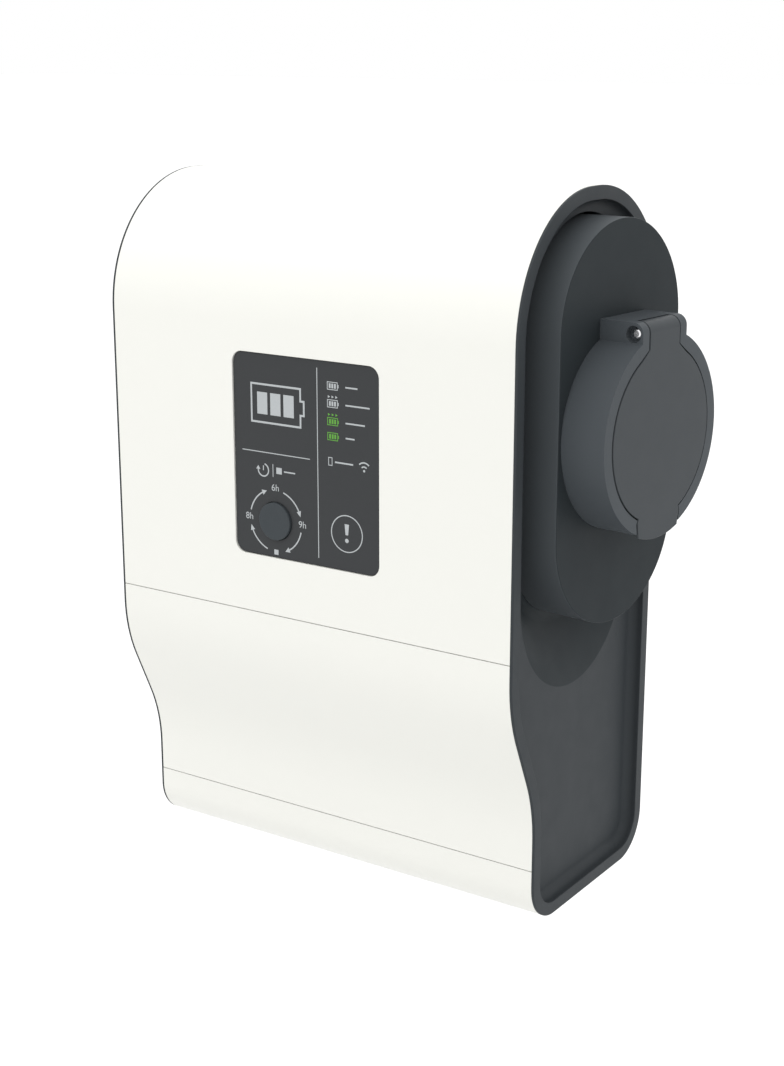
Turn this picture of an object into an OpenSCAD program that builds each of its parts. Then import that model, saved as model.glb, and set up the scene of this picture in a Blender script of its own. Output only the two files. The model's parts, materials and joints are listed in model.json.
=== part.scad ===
// Wall-mounted charging station for electric cars.
// X runs along the width, the socket is on the +X side, the front faces -Y and the wall is the plane Y = 0.
// The origin is the middle of the four wall fixings, halfway up the box.

/* [Body] */
// Width of the box over its two side cheeks
body_w = 315; // [305:1:330]
// Height of the box
body_h = 472; // [468:1:490]
// Depth of the box, wall to front
body_d = 186; // [184:1:194]
// Radius of the rounded top, at the front and at the back
top_r = 88.4; // [84:0.1:91]
// How far the foot of the front stands back from the front
setback = 32.8; // [30:0.1:36]
// Radius of both bends of the S-shaped front
bend_r = 105; // [95:1:110]
// Slope of the S-shaped front between its bends, from vertical
bend_angle = 24.4; // [23:0.1:26]
// Height at which the front begins to curve back
bend_top = 178.5; // [172:0.5:185]
// Radius of the lower front edge
foot_front_r = 28; // [20:1:32]
// Radius of the lower back edge
foot_back_r = 30; // [20:1:34]

/* [Covers] */
// Wall thickness of the white covers
cover_t = 2.8; // [2:0.1:3]
// Height of the seam between the upper and the lower cover
seam_mid = 190; // [186:1:196]
// Height of the seam between the lower cover and the bottom strip
seam_low = 40; // [36:1:44]
// Width of a seam
seam_gap = 0.5; // [0.3:0.1:1]
// Distance between the covers' back edge and the wall
cover_back = 8; // [6:1:10]

/* [Cheeks] */
// Width of the cheek's edge that shows beside the covers
band = 1.7; // [1.2:0.1:2.5]
// Width of the cheek's raised rim
rim_w = 8.7; // [7:0.1:10]
// Depth of the recessed panel inside the rim
recess = 8.7; // [6:0.1:10]
// Radius of the fillet between rim and panel
rim_fillet = 6; // [3:0.5:7]
// Depth of the pocket around the socket housing, below the recessed panel
pocket_deep = 12.8; // [10:0.1:14]
// How far the pocket's lower end slides down as it rises to the panel
scoop_run = 44; // [36:1:48]

/* [Socket] */
// Angle by which the socket turns towards the front
tilt = 5.7; // [4:0.1:7]
// Half the width of the socket housing
boss_r = 66.2; // [64:0.1:67]
// Half the distance between the housing's two end centres
boss_reach = 61.7; // [58:0.1:62]
// Outer radius of the flap ring
ring_r = 63.7; // [62:0.1:65]
// Height of the flap ring above the housing's face
ring_h = 30.7; // [29:0.1:32]
// Radius of the seat in the flap ring that takes the lid
seat_r = 54.9; // [54:0.1:55.5]
// Radius of the well inside the flap ring
well_r = 46; // [45.5:0.1:47]
// Radius of the recess that takes the plug
plug_r = 28; // [27.5:0.1:28.5]
// Radius of the contact carrier in the recess
carrier_r = 22; // [21.5:0.1:22.5]

/* [Lid] */
// Radius of the lid
lid_r = 54.2; // [53.5:0.1:54.4]
// Half the width of the lid's tongue
tongue_half = 16.8; // [15:0.1:18]
// Half the width of the lid's thumb tab
tab_half = 24; // [20:0.5:26]
// Radius of the hinge pin
pin_r = 4; // [3:0.1:4.2]
// Distance of the hinge axis from the housing's face
hinge_out = 23.8; // [23.5:0.1:24.2]
// Distance of the hinge axis above the socket's centre
hinge_up = 64; // [63.5:0.1:65]

/* [Display] */
// Width of the display panel
panel_w = 114.5; // [110:0.5:118]
// Height of the display panel
panel_h = 134; // [130:0.5:138]
// Radius of the display panel's corners
panel_corner = 7.5; // [5:0.5:9]
// Radius of the push button
button_r = 12.6; // [11:0.1:13]
// Travel of the push button
button_travel = 1.2; // [0.8:0.1:1.3]

/* [Wall fixings] */
// Distance between the wall holes across the width
fix_x = 200; // [180:5:220]
// Distance between the wall holes up the height
fix_z = 260; // [240:5:270]
// Radius of a wall hole
fix_r = 3.5; // [3:0.1:4]

/* [Hidden] */
$fn = 72;

white = [0.94, 0.94, 0.92];
anthracite = [0.26, 0.28, 0.29];
dark_grey = [0.2, 0.21, 0.22];
steel = [0.72, 0.73, 0.75];
copper_tin = [0.8, 0.78, 0.72];
board_green = [0.1, 0.35, 0.2];
device_grey = [0.82, 0.83, 0.83];

base_z = -body_h / 2;
half_w = body_w / 2;
cover_x = half_w - band - 0.1;
front_y = -body_d;
far = body_w + body_h;

// The S-shaped front: two arcs of bend_r joined by a straight that touches both
bend_flat = (setback - 2 * bend_r * (1 - cos(bend_angle))) / sin(bend_angle);
bend_foot = bend_top - 2 * bend_r * sin(bend_angle) - bend_flat * cos(bend_angle);
upper_bend = [front_y + bend_r, bend_top];
lower_bend = [front_y + setback - bend_r, bend_foot];

panel_t = 3;
panel_sunk = 1;
panel_x = 2.1;
panel_z = 61;
panel_y = front_y + panel_sunk;
panel_gap = 0.4;
board_y = front_y + 14.4;
board_t = 1.6;
button_x = -22.5;
button_z = 18.5;
button_out = 2;
button_gap = 0.3;
button_flange = 1.6;

spigot_x = 15;
spigot_t = 3;
cheek_x = half_w - band;
floor_x = half_w - recess;
pocket_x = floor_x - pocket_deep;
pocket_y = -91.3;
pocket_r = boss_r + 4.3;
skin = 3;

socket_at = [half_w + 19.4, -92.3, 88];
housing_up = 2;
housing_t = 3;
face_t = 3.5;
lid_face = 31.7;
lid_t = 1.8;
lid_core_r = 51.4;
lid_core_t = 2;
knuckle_r = 7.2;
slot_gap = 0.5;
block_half = 25;
seat_floor = 24.7;
spring_wire = 0.5;
spring_coil = 5;
flange_half = 35;
flange_screw = 29;
contact_spots = [[-14.2, 0.5], [14.2, 0.5], [0, 0], [-7.9, -13.6], [7.9, -13.6]];
signal_spots = [[-7.6, 11.8], [7.6, 11.8]];
contact_back = -58;
lock_x = -12;
lock_r = 2.2;

rail_y = -20;
rail_z = 20;
device_low = -22;
device_high = 62;
breaker_x = -112;
breaker_w = 70;
contactor_x = -36;
contactor_w = 36;
toggle_y = -76;
toggle_x = -77;
toggle_half = 15;
logic_y = -24;
gland_at = [-70, -50];
gland_r = 12.5;
gland_bore = 8.5;

cheek_screw_z = [-180, -60, 60, 140];
cover_screw_y = [-118, -45];
cover_screw_x = half_w - 11.5;

// ---- outlines and helpers ----

// Points of an arc around c, from one angle to another
function arc(c, r, a_from, a_to, steps = 12) =
    [for (k = [0:steps]) let (a = a_from + (a_to - a_from) * k / steps) c + r * [cos(a), sin(a)]];

// Side outline of the box, drawn in from its surface by inset: across is Y, up is the height from the foot.
// Its regions overlap by lap, so that they join into one.
module side_outline(inset) {
    lap = 4;
    top_z = body_h - top_r;
    foot_y = front_y + setback;
    // rounded top
    for (y = [front_y + top_r, -top_r])
        translate([y, top_z])
            circle(r = top_r - inset);
    translate([front_y + top_r, top_z - lap])
        square([body_d - 2 * top_r, top_r - inset + lap]);
    // straight front
    translate([front_y + inset, bend_top])
        square([body_d - 2 * inset, top_z - bend_top]);
    // S-shaped front: upper bend, straight slope, lower bend
    polygon(concat(
        [[-inset, bend_foot - lap], [-inset, bend_top + lap], [front_y + inset, bend_top + lap]],
        arc(upper_bend, bend_r - inset, 180, 180 + bend_angle),
        arc(lower_bend, bend_r + inset, bend_angle, 0),
        [[foot_y + inset, bend_foot - lap]]));
    // foot
    translate([foot_y + foot_front_r, foot_front_r])
        circle(r = foot_front_r - inset);
    translate([-foot_back_r, foot_back_r])
        circle(r = foot_back_r - inset);
    translate([foot_y + inset, foot_front_r])
        square([-foot_y - 2 * inset, bend_foot - foot_front_r]);
    translate([foot_y + foot_front_r, inset])
        square([-foot_y - foot_front_r - foot_back_r, foot_front_r + lap]);
}

// The side outline as a solid between two places along the width
module across(x_from, x_to, inset = 0) {
    translate([x_from, 0, base_z])
        rotate([90, 0, 90])
            linear_extrude(x_to - x_from)
                side_outline(inset);
}

// A block that spans the whole box between two heights, in front of the wall by behind
module slab(z_from, z_to, behind) {
    translate([-far / 2, front_y - 1, base_z + z_from])
        cube([far, body_d + 1 - behind, z_to - z_from]);
}

// A long rounded shape in the YZ plane, growing towards +X
module long_round(r, reach, length) {
    rotate([90, 0, 90])
        linear_extrude(length) {
            for (side = [-1, 1])
                translate([0, side * reach])
                    circle(r = r, $fn = 96);
            translate([-r, -reach])
                square([2 * r, 2 * reach]);
        }
}

// A round bar along +X
module bar_x(r, length) {
    rotate([0, 90, 0])
        cylinder(r = r, h = length);
}

// A round bar centred across Y
module bar_y(r, length) {
    rotate([90, 0, 0])
        cylinder(r = r, h = length, center = true);
}

// A panel with rounded corners in the XZ plane, growing towards +Y
module rounded_panel(w, h, r, t) {
    translate([0, t, 0])
        rotate([90, 0, 0])
            linear_extrude(t) {
                square([w, h - 2 * r], center = true);
                square([w - 2 * r, h], center = true);
                for (sx = [-1, 1], sz = [-1, 1])
                    translate([sx * (w / 2 - r), sz * (h / 2 - r)])
                        circle(r = r);
            }
}

// Children drawn with +X straight out of the socket are put in their place on the box
module at_socket() {
    translate(socket_at)
        rotate([0, 0, -tilt])
            children();
}

// Children are put on the lid's hinge axis, seen in the socket's own directions
module at_hinge() {
    at_socket()
        translate([hinge_out, 0, hinge_up])
            children();
}

// Points on a circle across a path, side a lies across the path and side b completes it
function ring_at(c, a, b, r, sides) =
    [for (k = [0:sides - 1]) c + r * (cos(360 * k / sides) * a + sin(360 * k / sides) * b)];

function unit(v) = v / norm(v);

// A round wire along a list of points, with flat ends
module wire(path, r, sides = 8, lean = [0, 1, 0]) {
    n = len(path);
    dirs = [for (k = [0:n - 1]) unit(path[min(k + 1, n - 1)] - path[max(k - 1, 0)])];
    rings = [for (k = [0:n - 1])
        let (a = unit(cross(lean, dirs[k])), b = cross(dirs[k], a))
        ring_at(path[k], a, b, r, sides)];
    points = [for (ring = rings) for (p = ring) p];
    walls = [for (k = [0:n - 2], s = [0:sides - 1])
        let (s2 = (s + 1) % sides)
        [k * sides + s, k * sides + s2, (k + 1) * sides + s2, (k + 1) * sides + s]];
    start = [for (s = [sides - 1:-1:0]) s];
    end = [for (s = [0:sides - 1]) (n - 1) * sides + s];
    mirror_faces = [for (f = concat([start], walls, [end])) [for (k = [len(f) - 1:-1:0]) f[k]]];
    polyhedron(points, mirror_faces, convexity = 6);
}

// Points of a smooth curve from a to d that leaves along b and arrives along c
function bend_path(a, b, c, d, steps) =
    [for (k = [0:steps]) let (t = k / steps, s = 1 - t)
        s * s * s * a + 3 * s * s * t * b + 3 * s * t * t * c + t * t * t * d];

// The same with short straight ends, so that both end faces are square to the wire
function wire_path(a, b, c, d, steps) =
    concat([a - 0.4 * unit(b - a)], bend_path(a, b, c, d, steps), [d + 0.4 * unit(d - c)]);

// Points of a coil around Y
function coil_path(r, turns, length, from_angle, per_turn = 20) =
    [for (k = [0:turns * per_turn]) let (angle = from_angle + 360 * k / per_turn)
        [r * cos(angle), length * (k / (turns * per_turn) - 0.5), r * sin(angle)]];

// ---- casing ----

module back_shell() {
    plate_x = cheek_x - 0.2;
    plate_top = base_z + body_h - top_r;
    plate_low = base_z + foot_back_r;
    lip_x = half_w - band - spigot_x - 1;
    color(dark_grey)
        difference() {
            union() {
                translate([-plate_x, -2.9, plate_low])
                    cube([2 * plate_x, 2.9, plate_top - plate_low]);
                // lip that carries the covers, along the curved top and foot
                intersection() {
                    difference() {
                        across(-lip_x, lip_x, 3.2);
                        across(-far, far, 6.2);
                    }
                    union() {
                        translate([-far / 2, -28, plate_top - 1])
                            cube([far, 40, far]);
                        translate([-far / 2, -28, plate_low - far + 1])
                            cube([far, 40, far]);
                    }
                }
                for (z = [plate_low, plate_top - 4])
                    translate([-lip_x, -6.2, z])
                        cube([2 * lip_x, 6.2, 4]);
                // posts of the rail
                for (x = [-120, 76])
                    translate([x, rail_y + 7.5, rail_z - 8])
                        cube([12, -rail_y - 7.5 - 1, 16]);
            }
            for (sx = [-1, 1], sz = [-1, 1])
                translate([sx * fix_x / 2, 0, sz * fix_z / 2])
                    bar_y(fix_r, 40);
            for (sx = [-1, 1], z = cheek_screw_z)
                translate([sx * (cheek_x - 8), 0, z]) {
                    bar_y(1.9, 10);
                    translate([0, -0.9, 0])
                        bar_y(3.8, 2);
                }
        }
}

// One cheek, drawn on the +X side, without its socket pocket
module plain_cheek() {
    steps = 5;
    difference() {
        union() {
            across(cheek_x, half_w);
            across(cheek_x - spigot_x, cheek_x, 3);
            for (z = cheek_screw_z)
                translate([cheek_x - 13, -16, z - 6])
                    cube([11, 11, 12]);
        }
        // recessed panel, its foot widened in steps that follow the fillet
        across(floor_x, half_w + 1, rim_w + rim_fillet);
        for (k = [0:steps - 1])
            across(floor_x + rim_fillet * (k + 0.5) / steps, half_w + 1,
                rim_w + rim_fillet * (1 - sqrt(1 - pow(1 - (k + 0.5) / steps, 2))));
        // hollow behind the panel
        intersection() {
            across(cheek_x - spigot_x - 1, floor_x - skin, 3 + spigot_t);
            difference() {
                translate([0, -far, -far])
                    cube([far, 2 * far, 2 * far]);
                for (z = cheek_screw_z)
                    translate([cheek_x - 13, -16, z - 6])
                        cube([11, 11, 12]);
            }
        }
        for (z = cheek_screw_z)
            translate([cheek_x - 8, -5, z])
                bar_y(1.55, 18);
        for (y = cover_screw_y)
            translate([cover_screw_x, y, base_z])
                cylinder(r = 1.75, h = 12);
    }
}

// Hollow of the pocket: grow widens it all round for the skin around it
module pocket_shape(grow) {
    low = pocket_x - grow;
    end_z = socket_at[2] + housing_up - boss_reach;
    // the pocket proper follows the housing's outline
    translate([low, pocket_y, socket_at[2] + housing_up])
        long_round(pocket_r + grow, boss_reach, floor_x - low + (grow > 0 ? 0 : 2));
    // slanted scoop at its lower end
    hull() {
        translate([low, pocket_y, end_z])
            bar_x(pocket_r + grow - 0.2, 0.1);
        translate([floor_x + (grow > 0 ? -0.1 : 0), pocket_y, end_z - scoop_run])
            bar_x(pocket_r + grow - 0.2, 0.1);
        translate([floor_x + (grow > 0 ? -0.1 : 0), pocket_y, end_z])
            bar_x(pocket_r + grow - 0.2, 0.1);
    }
}

module right_cheek() {
    color(anthracite)
        difference() {
            union() {
                plain_cheek();
                intersection() {
                    pocket_shape(skin);
                    across(pocket_x - skin, floor_x - 0.5, 4);
                }
            }
            pocket_shape(0);
            at_socket()
                translate([-70, 0, 0])
                    bar_x(plug_r + 8.5, 60);
        }
}

module left_cheek() {
    color(anthracite)
        mirror([1, 0, 0])
            plain_cheek();
}

// The wrap-around skin between two heights, with the cable's hole in its foot
module cover(z_from, z_to) {
    color(white)
        intersection() {
            difference() {
                across(-cover_x, cover_x);
                across(-far, far, cover_t);
            }
            slab(z_from, z_to, cover_back);
        }
}

module upper_cover() {
    difference() {
        cover(seam_mid + seam_gap / 2, body_h + 1);
        translate([panel_x, front_y - 1, panel_z])
            rounded_panel(panel_w + 2 * panel_gap, panel_h + 2 * panel_gap,
                panel_corner + panel_gap, cover_t + 2);
    }
}

module lower_cover() {
    cover(seam_low + seam_gap / 2, seam_mid - seam_gap / 2);
}

module bottom_cover() {
    difference() {
        cover(-1, seam_low - seam_gap / 2);
        translate([gland_at[0], gland_at[1], base_z - 1])
            cylinder(r = gland_r + 0.2, h = 10);
        for (sx = [-1, 1], y = cover_screw_y)
            translate([sx * cover_screw_x, y, base_z]) {
                translate([0, 0, -1])
                    cylinder(r = 2.2, h = 10);
                translate([0, 0, -1])
                    cylinder(r = 4.2, h = 3);
            }
    }
}

// ---- display ----

module display_panel() {
    post = board_y - panel_y - panel_t;
    color(dark_grey)
        difference() {
            translate([0, panel_y, 0]) {
                translate([panel_x, 0, panel_z])
                    rounded_panel(panel_w, panel_h, panel_corner, panel_t);
                for (sx = [-1, 1], sz = [-1, 1])
                    translate([panel_x + sx * 50, panel_t + post / 2, panel_z + sz * 59])
                        bar_y(3, post);
                translate([button_x, panel_t + 1.5, button_z])
                    bar_y(button_r + 3, 3);
            }
            translate([button_x, panel_y, button_z])
                bar_y(button_r + button_gap, 30);
            for (sx = [-1, 1], sz = [-1, 1])
                translate([panel_x + sx * 50, board_y, panel_z + sz * 59])
                    bar_y(1.2, 14);
        }
}

// Clear blocks that carry the light from the board to the panel's icons
module light_guides() {
    guide_y = panel_y + panel_t;
    color([0.9, 0.95, 0.95])
        translate([0, guide_y, 0]) {
            translate([-44, 0, 82])
                cube([46, 7.4, 30]);
            for (k = [0:3])
                translate([19, 0, 104 - 11 * k])
                    cube([12, 7.4, 6]);
            translate([28, 0, 8])
                cube([12, 7.4, 20]);
        }
}

module display_board() {
    color(board_green)
        difference() {
            translate([panel_x, board_y, panel_z])
                rounded_panel(panel_w - 6, panel_h - 8, 3, board_t);
            for (sx = [-1, 1], sz = [-1, 1])
                translate([panel_x + sx * 50, board_y, panel_z + sz * 59])
                    bar_y(1.6, 10);
        }
}

module board_screws() {
    color(steel)
        for (sx = [-1, 1], sz = [-1, 1])
            translate([panel_x + sx * 50, board_y, panel_z + sz * 59]) {
                translate([0, board_t / 2 - 1.5, 0])
                    bar_y(1.2, board_t + 3);
                translate([0, board_t + 0.8, 0])
                    bar_y(2.6, 1.6);
            }
}

module push_button() {
    face_y = panel_y - button_out;
    flange_y = panel_y + panel_t + 3.3;
    color(anthracite)
        translate([button_x, 0, button_z])
            difference() {
                union() {
                    translate([0, (face_y + flange_y) / 2, 0])
                        bar_y(button_r, flange_y - face_y);
                    translate([0, flange_y + button_flange / 2, 0])
                        bar_y(button_r + 1.8, button_flange);
                }
                difference() {
                    translate([0, face_y + 2 + 15, 0])
                        bar_y(button_r - 2, 30);
                    bar_y(2.2, 3 * body_d);
                }
                translate([0, board_y - 5.3 + 15, 0])
                    bar_y(3, 30);
            }
}

module switch_plunger() {
    color("white")
        translate([button_x, board_y - 4, button_z])
            bar_y(1.75, 2.6);
}

module button_switch() {
    color("dimgray")
        difference() {
            translate([button_x - 5, board_y - 3.6, button_z - 5])
                cube([10, 3.6, 10]);
            translate([button_x, board_y - 2.7 + (button_travel + 0.4) / 2 - 1, button_z])
                bar_y(1.83, button_travel + 2.4);
        }
}

module button_spring() {
    seat_y = panel_y - button_out + 2;
    length = board_y - seat_y - 2 * spring_wire - 0.2;
    color(steel)
        translate([button_x, (board_y + seat_y) / 2, button_z])
            wire(coil_path(8.4, 4, length, 0, 16), spring_wire, 6);
}

// ---- socket, flap ring and lid ----

module socket_housing() {
    color(anthracite)
        intersection() {
            at_socket()
                difference() {
                    translate([-60, 0, housing_up])
                        long_round(boss_r, boss_reach, 60);
                    translate([-61, 0, housing_up])
                        long_round(boss_r - housing_t, boss_reach, 61 - face_t);
                    translate([-10, 0, 0])
                        bar_x(plug_r + 5.5, 20);
                    for (sy = [-1, 1], sz = [-1, 1]) {
                        translate([-10, sy * flange_screw, sz * flange_screw])
                            bar_x(2.2, 20);
                        translate([-10, sy * 38.9, sz * 38.9])
                            bar_x(1.6, 20);
                    }
                }
            translate([pocket_x + 0.1, -far, -far])
                cube([far, 2 * far, 2 * far]);
        }
}

module flap_ring() {
    color(anthracite)
        at_socket()
            difference() {
                union() {
                    bar_x(ring_r, ring_h);
                    // hinge block, its front edge rounded around the pin
                    translate([0, -block_half, 40])
                        cube([hinge_out, 2 * block_half, hinge_up + knuckle_r - 40]);
                    translate([0, -block_half, 40])
                        cube([hinge_out + knuckle_r, 2 * block_half, hinge_up - 40]);
                    translate([hinge_out, 0, hinge_up])
                        bar_y(knuckle_r, 2 * block_half);
                }
                translate([-1, 0, 0])
                    bar_x(well_r, ring_h + 2);
                translate([seat_floor, 0, 0])
                    bar_x(seat_r, ring_h);
                // slot for the tongue
                translate([seat_floor + 2, -tongue_half - slot_gap, 30])
                    cube([20, 2 * (tongue_half + slot_gap), hinge_up - 30]);
                translate([hinge_out, 0, hinge_up])
                    bar_y(knuckle_r + slot_gap, 2 * (tongue_half + slot_gap));
                translate([hinge_out, -tongue_half - slot_gap, hinge_up])
                    cube([20, 2 * (tongue_half + slot_gap), 20]);
                // pin bore, counterbored from both sides
                translate([hinge_out, 0, hinge_up])
                    bar_y(pin_r, 3 * block_half);
                for (side = [-1, 1])
                    translate([hinge_out, side * (block_half + 5.5), hinge_up])
                        bar_y(5.2, 20);
                // anchor of the spring's fixed leg
                translate([hinge_out - 8.2, -7, hinge_up - 13])
                    cube([3.4, 3, 10]);
                // notch for the thumb tab
                translate([lid_face - lid_t - 1.8, -tab_half - slot_gap, -ring_r - 5])
                    cube([20, 2 * (tab_half + slot_gap), 25]);
                for (sy = [-1, 1], sz = [-1, 1])
                    translate([-1, sy * 38.9, sz * 38.9])
                        bar_x(1.5, 10);
            }
}

module hinge_pin() {
    length = 2 * (block_half - 4.5);
    color(steel)
        at_hinge() {
            bar_y(pin_r, length - 1);
            for (side = [-1, 1])
                translate([0, side * (length / 2 - 0.5), 0])
                    rotate([-90 * side, 0, 0])
                        cylinder(r1 = pin_r, r2 = pin_r - 0.5, h = 0.5);
        }
}

module socket_lid() {
    core_from = lid_face - lid_t - lid_core_t;
    color(anthracite)
        at_socket()
            difference() {
                union() {
                    translate([lid_face - lid_t, 0, 0])
                        bar_x(lid_r, lid_t);
                    translate([core_from, 0, 0])
                        bar_x(lid_core_r, lid_core_t + 0.1);
                    // tongue and its knuckle around the pin
                    translate([core_from, -tongue_half, lid_r - 8])
                        cube([hinge_out + knuckle_r - core_from, 2 * tongue_half, hinge_up - lid_r + 8]);
                    translate([hinge_out, 0, hinge_up])
                        bar_y(knuckle_r, 2 * tongue_half);
                    // thumb tab
                    intersection() {
                        translate([lid_face - lid_t, 0, 0])
                            bar_x(ring_r + 1.6, lid_t + 0.5);
                        translate([0, -tab_half, -2 * ring_r])
                            cube([60, 2 * tab_half, 2 * ring_r - 42]);
                    }
                    difference() {
                        translate([core_from - 2, 0, 0])
                            bar_x(38, 2.1);
                        translate([core_from - 3, 0, 0])
                            bar_x(36, 3);
                    }
                }
                translate([hinge_out, 0, hinge_up])
                    bar_y(pin_r + 0.06, 3 * tongue_half);
                // hollow for the spring, open at the back, and a groove for its moving leg
                translate([hinge_out, 0, hinge_up])
                    bar_y(6, 14);
                translate([hinge_out - 10, -7, hinge_up - 10])
                    cube([10, 14, 20]);
                translate([hinge_out, 3.6, hinge_up - 12])
                    cube([5.8, 2.8, 12]);
            }
}

module lid_seal() {
    seal_from = seat_floor + 0.4;
    color("black")
        at_socket()
            difference() {
                translate([seal_from, 0, 0])
                    bar_x(51, lid_face - lid_t - lid_core_t - seal_from);
                translate([seal_from - 1, 0, 0])
                    bar_x(47.5, 10);
            }
}

module lid_spring() {
    coil = coil_path(spring_coil, 4.5, 9, 170, 16);
    first = coil[0];
    last = coil[len(coil) - 1];
    fixed_leg = [for (k = [3:-1:1]) first + k * [-0.7, 0, -3.3]];
    free_leg = [for (k = [1:3]) last + k * [0, 0, -3.2]];
    color(steel)
        at_hinge()
            wire(concat(fixed_leg, coil, free_leg), spring_wire, 6);
}

// A disc with a flat on top, growing towards +X
module keyed_disc(r, flat, length) {
    intersection() {
        bar_x(r, length);
        translate([-1, -r - 1, -r - 1])
            cube([length + 2, 2 * r + 2, r + 1 + flat]);
    }
}

module socket_body() {
    color(dark_grey)
        at_socket()
            difference() {
                union() {
                    translate([-48, 0, 0])
                        bar_x(plug_r + 5, 51);
                    translate([-face_t - 3.2, -flange_half, -flange_half])
                        cube([3, 2 * flange_half, 2 * flange_half]);
                }
                translate([-40, 0, 0])
                    keyed_disc(plug_r, 24, 60);
                for (spot = contact_spots)
                    translate([-50, spot[0], spot[1]])
                        bar_x(4.3, 20);
                for (spot = signal_spots)
                    translate([-50, spot[0], spot[1]])
                        bar_x(2.3, 20);
                translate([lock_x, 0, 20])
                    cylinder(r = lock_r + 0.08, h = 30);
                for (sy = [-1, 1], sz = [-1, 1])
                    translate([-10, sy * flange_screw, sz * flange_screw])
                        bar_x(2, 20);
            }
}

module contact_carrier() {
    color([0.12, 0.12, 0.13])
        at_socket()
            difference() {
                translate([-40, 0, 0])
                    keyed_disc(carrier_r, 17.5, 40);
                for (spot = contact_spots) {
                    translate([-41, spot[0], spot[1]])
                        bar_x(4.3, 39);
                    translate([-4, spot[0], spot[1]])
                        bar_x(3.3, 5);
                }
                for (spot = signal_spots) {
                    translate([-41, spot[0], spot[1]])
                        bar_x(2.3, 39);
                    translate([-4, spot[0], spot[1]])
                        bar_x(1.7, 5);
                }
            }
}

// Contact sleeves, open towards the plug
module sleeves(spots, outer, inner, from) {
    color(copper_tin)
        at_socket()
            for (spot = spots)
                translate([from, spot[0], spot[1]])
                    difference() {
                        bar_x(outer, -3 - from);
                        translate([-33 - from, 0, 0])
                            bar_x(inner, 40);
                    }
}

module power_contacts() {
    sleeves(contact_spots, 4.2, 3, contact_back);
}

module signal_contacts() {
    sleeves(signal_spots, 2.2, 1.5, contact_back + 6);
}

module socket_screws() {
    color(steel)
        at_socket()
            for (sy = [-1, 1], sz = [-1, 1])
                translate([0, sy * flange_screw, sz * flange_screw])
                    difference() {
                        union() {
                            bar_x(3.5, 2.2);
                            translate([-9, 0, 0])
                                bar_x(2, 9.1);
                        }
                        translate([1, 0, 0])
                            bar_x(1.6, 3);
                    }
}

module ring_screws() {
    color(steel)
        at_socket()
            for (sy = [-1, 1], sz = [-1, 1])
                translate([-face_t, sy * 38.9, sz * 38.9]) {
                    bar_x(1.5, 11);
                    translate([-2.2, 0, 0])
                        bar_x(3, 2.2);
                }
}

module lock_motor() {
    color("black")
        at_socket()
            difference() {
                translate([lock_x - 12, -11, 37])
                    cube([19, 22, 36]);
                translate([lock_x, 0, 36])
                    cylinder(r = lock_r + 0.08, h = 22);
            }
}

module lock_pin() {
    color(steel)
        at_socket()
            translate([lock_x, 0, 24.6])
                cylinder(r = lock_r, h = 26);
}

// ---- electrical equipment on the back shell ----

module din_rail() {
    color(steel)
        translate([-128, rail_y, rail_z])
            rotate([90, 0, 90])
                linear_extrude(220)
                    polygon([[0, -17.5], [1, -17.5], [1, -13.5], [7.4, -13.5], [7.4, 13.5], [1, 13.5],
                        [1, 17.5], [0, 17.5], [0, 12.5], [6.4, 12.5], [6.4, -12.5], [0, -12.5]]);
}

// A rail-mounted device: a deep body with a narrower nose, screw wells above and below
module rail_device(x, w, poles) {
    body_front = -66;
    nose_front = -80;
    difference() {
        union() {
            translate([x, body_front, device_low])
                cube([w, rail_y - 0.2 - body_front, device_high - device_low]);
            translate([x, nose_front, rail_z - 22])
                cube([w, 14.1, 44]);
        }
        for (k = [0:poles - 1], z = [device_low + 9, device_high - 9])
            translate([x + w * (k + 0.5) / poles, body_front, z])
                bar_y(3, 12);
    }
}

module residual_breaker() {
    color(device_grey)
        difference() {
            rail_device(breaker_x, breaker_w, 4);
            translate([toggle_x, toggle_y, rail_z])
                rotate([0, 90, 0])
                    cylinder(r = 8.5, h = 2 * toggle_half + 0.8, center = true);
        }
}

module breaker_toggle() {
    color("dimgray")
        translate([toggle_x, toggle_y, rail_z])
            rotate([-40, 0, 0]) {
                rotate([0, 90, 0])
                    cylinder(r = 8, h = 2 * toggle_half, center = true);
                translate([-toggle_half, -17, -2])
                    cube([2 * toggle_half, 14, 4]);
            }
}

module contactor() {
    color(device_grey)
        rail_device(contactor_x, contactor_w, 4);
}

module terminal_blocks() {
    color("gray")
        for (k = [0:4])
            translate([24 + 8.4 * k, -62, rail_z - 24])
                difference() {
                    cube([8, 62 + rail_y - 0.2, 48]);
                    for (z = [8, 40])
                        translate([4, 0, z])
                            bar_y(2.4, 12);
                }
}

module control_board() {
    color(board_green)
        difference() {
            translate([-25, logic_y - board_t, -150])
                rounded_panel(170, 96, 3, board_t);
            for (sx = [-1, 1], sz = [-1, 1])
                translate([-25 + sx * 79, logic_y, -150 + sz * 42])
                    bar_y(1.7, 10);
        }
}

module board_pillars() {
    color(copper_tin)
        for (sx = [-1, 1], sz = [-1, 1])
            translate([-25 + sx * 79, 0, -150 + sz * 42]) {
                translate([0, (logic_y - 2.9) / 2, 0])
                    bar_y(3, -logic_y - 2.9);
                translate([0, logic_y - 1.5, 0])
                    bar_y(1.6, 3.2);
                translate([0, logic_y - board_t - 1, 0])
                    bar_y(2.8, 1.9);
            }
}

module board_parts() {
    face = logic_y - board_t;
    color([0.12, 0.12, 0.14])
        translate([0, face, 0]) {
            translate([-95, -24, -188])
                cube([34, 24, 30]);
            for (k = [0:1])
                translate([-54 + 24 * k, -16, -188])
                    cube([20, 16, 28]);
            translate([-20, -3, -150])
                cube([16, 3, 16]);
            translate([10, -12, -116])
                cube([40, 12, 9]);
            for (k = [0:2])
                translate([4 + 14 * k, -9, -180])
                    bar_y(5, 18);
            translate([20, -4, -150])
                cube([22, 4, 16]);
        }
}

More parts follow.
